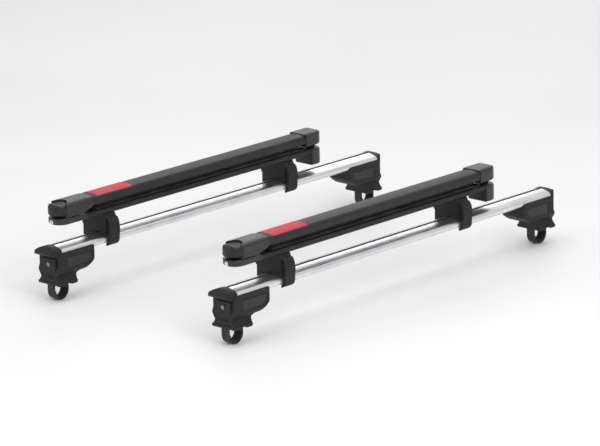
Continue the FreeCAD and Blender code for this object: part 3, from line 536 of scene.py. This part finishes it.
def tower_panels(end, flank):
    """The lighter panel let into each side of a tower, so that a dark line runs round it."""
    centre = middle(f"{end}_{flank}_tower_body").x
    side = -1 if flank == "right" else 1
    rail_y = side * ROOF_RAIL_Y * MM
    # Corners as distance inboard of the roof rail's axis, and height.
    corners = [(-2.8, -16.2), (86.8, -16.2), (86.8, -36.4), (68.4, -48.6), (-2.8, -48.6)]
    outline = rounded_outline(corners, [3, 3, 7, 9, 6])
    for face, sign in (("fore", 1), ("aft", -1)):
        at = centre + sign * PANEL_FACE * MM

        def place(a, b, out):
            return (at + sign * out * MM, rail_y - side * a * MM, BAR_Z + b * MM)

        shape = plate(outline, place, PANEL_THICKNESS, PANEL_EDGE)
        build(f"{end}_{flank}_tower_panel_{face}", *shape, PANEL, "rack", "tower")


def slotted_disc(radius, slot_half_width, slot_half_height, place, thickness):
    """A disc with a key slot through it."""
    count = 48
    outer, inner = [], []
    for i in range(count):
        a = 2 * math.pi * i / count
        c, s = math.cos(a), math.sin(a)
        outer.append((radius * c, radius * s))
        reach = min(slot_half_width / max(abs(c), 1e-9), slot_half_height / max(abs(s), 1e-9))
        inner.append((reach * c, reach * s))
    edge = [(a * 0.95, b * 0.95) for a, b in outer]
    rings = [[place(a, b, 0) for a, b in inner], [place(a, b, 0) for a, b in outer],
             [place(a, b, thickness * 0.6) for a, b in outer], [place(a, b, thickness) for a, b in edge],
             [place(a, b, thickness) for a, b in inner], [place(a, b, 0) for a, b in inner]]
    return loft(rings, closed_ends=False)


def cover_details(end, flank):
    """The steel face of a tower cover's lock, and the cover's three finger ribs."""
    body = f"{end}_{flank}_cover"
    centre = CARRIER_X[end]
    side = -1 if flank == "right" else 1
    front = side * (ROOF_RAIL_Y + TOWER_FACE) * MM

    def on_lock(a, b, out):
        y = front + side * (COVER_LOCK_STAND + out) * MM
        return (centre + a * MM, y, BAR_Z + (b + COVER_LOCK_Z) * MM)

    def on_cover(a, b, out):
        return (centre + a * MM, front + side * (out - COVER_RIB_SINK) * MM, BAR_Z + b * MM)

    face = slotted_disc(COVER_LOCK_RADIUS, KEY_SLOT_HALF_WIDTH, KEY_SLOT_HALF_HEIGHT, on_lock,
                        COVER_LOCK_THICKNESS)
    build(f"{end}_{flank}_cover_lock_face", *face, COVER_LOCK, f"{end}_{flank}_cover_lock", "lock")
    half = COVER_RIB_HALF_LENGTH
    for i, z in enumerate(COVER_RIB_HEIGHTS):
        z0, z1 = z - COVER_RIB_HALF_WIDTH, z + COVER_RIB_HALF_WIDTH
        corners = [(-half, z0), (half, z0), (half, z1), (-half, z1)]
        outline = rounded_outline(corners, [COVER_RIB_CORNER] * 4)
        rib = plate(outline, on_cover, COVER_RIB_THICKNESS, COVER_RIB_EDGE)
        build(f"{end}_{flank}_cover_rib_{i}", *rib, TOWER, body, "tower")


def button_ribs(end):
    """Raised thumb ribs that follow the crown of the release button."""
    centre = CARRIER_X[end]
    steps, around = 24, 12
    for i, (y, half) in enumerate(BUTTON_RIBS):
        rings = []
        for k in range(steps + 1):
            t = 2 * k / steps - 1
            x = half * t
            crown = BUTTON_CROWN_Z + math.sqrt(BUTTON_CROWN_RADIUS ** 2 - x * x)
            taper = math.sqrt(max(0.0, 1 - abs(t) ** 8))
            wide, high = BUTTON_RIB_HALF_WIDTH * taper + 0.02, BUTTON_RIB_HEIGHT * taper
            turns = [2 * math.pi * j / around for j in range(around)]
            rings.append([(centre + x * MM, (y + wide * math.cos(a)) * MM,
                           BAR_Z + (crown + high * math.sin(a)) * MM) for a in turns])
        build(f"{end}_button_rib_{i}", *loft(rings), BUTTON, f"{end}_button", "release_button")


for end in ENDS:
    ribbed_pad(end, "lower")
    ribbed_pad(end, "upper")
    button_ribs(end)
    for where in MOUNTS:
        knob(end, where)
    for flank in FLANKS:
        tower_panels(end, flank)
        cover_details(end, flank)


# ---------------------------------------------------------------- studio
def floor():
    """A pale paper floor just under the straps."""
    half, count, level = 14.0, 8, -0.0006
    places = [-half + 2 * half * i / count for i in range(count + 1)]
    vertices = [(x, y, level) for x in places for y in places]
    faces = []
    for i in range(count):
        for j in range(count):
            a = i * (count + 1) + j
            faces.append((a, a + count + 1, a + count + 2, a + 1))
    mesh = bpy.data.meshes.new("floor")
    mesh.from_pydata(vertices, [], faces)
    s = Shader("floor_paper", Specular_IOR_Level=0.3)
    cloud = s.noise(s.point(), 1.2, 2.0)
    fine = s.noise(s.point(), 500.0, 2.0)
    colour = s.mix(s.spread(cloud), (0.83, 0.83, 0.835), (0.86, 0.86, 0.865))
    mesh.materials.append(s.finish(colour, s.spread(fine, 0.55, 0.65), s.bump(fine, 0.0001, 0.3)))
    made = bpy.data.objects.new("floor", mesh)
    bpy.context.scene.collection.objects.link(made)


def area_light(name, place, aim, size, power):
    """A soft rectangular light; its size in metres and its power in watts."""
    data = bpy.data.lights.new(name, "AREA")
    data.shape = "RECTANGLE"
    data.size, data.size_y = size
    data.energy = power
    made = bpy.data.objects.new(name, data)
    bpy.context.scene.collection.objects.link(made)
    made.location = place
    made.rotation_euler = (Vector(aim) - Vector(place)).to_track_quat("-Z", "Y").to_euler()


def sky():
    """A soft white tent: bright above, greyer towards the horizon, so that metal shows its form."""
    world = bpy.data.worlds.new("studio")
    world.use_nodes = True
    tree = world.node_tree
    background = tree.nodes["Background"]
    background.inputs["Strength"].default_value = 0.85
    ramp = tree.nodes.new("ShaderNodeValToRGB")
    stops = ramp.color_ramp.elements
    for position, grey in ((0.0, 0.30), (0.5, 0.42), (0.62, 0.72), (1.0, 1.0)):
        stop = stops.new(position) if 0 < position < 1 else stops[int(position)]
        stop.color = (grey * 0.985, grey * 0.99, grey, 1)
    height = tree.nodes.new("ShaderNodeMapRange")
    height.inputs["From Min"].default_value = -1.0
    split = tree.nodes.new("ShaderNodeSeparateXYZ")
    tree.links.new(tree.nodes.new("ShaderNodeTexCoord").outputs["Generated"], split.inputs[0])
    tree.links.new(split.outputs["Z"], height.inputs["Value"])
    tree.links.new(height.outputs["Result"], ramp.inputs["Fac"])
    tree.links.new(ramp.outputs["Color"], background.inputs["Color"])
    return world


def studio():
    """Soft lights round the rack, and a camera far off to its front right, rolled slightly."""
    scene = bpy.context.scene
    scene.world = sky()
    scene.view_settings.view_transform = "Standard"
    target = (0, 0, 0.12)
    area_light("overhead", (0.2, -0.2, 3.2), target, (3.6, 3.6), 34)
    area_light("key", (3.4, -1.0, 2.6), target, (1.6, 1.6), 44)
    area_light("fill", (-1.2, -3.8, 1.6), target, (2.4, 1.4), 20)
    area_light("back", (-3.0, 3.4, 2.4), target, (2.4, 1.0), 16)

    data = bpy.data.cameras.new("camera")
    camera = bpy.data.objects.new("camera", data)
    scene.collection.objects.link(camera)
    camera.location = CAMERA_PLACE
    level = (Vector(CAMERA_AIM) - camera.location).to_track_quat("-Z", "Y")
    camera.rotation_euler = (level @ Quaternion((0, 0, 1), CAMERA_ROLL)).to_euler()
    data.lens = CAMERA_LENS
    data.clip_end = 100
    scene.camera = camera


floor()
studio()
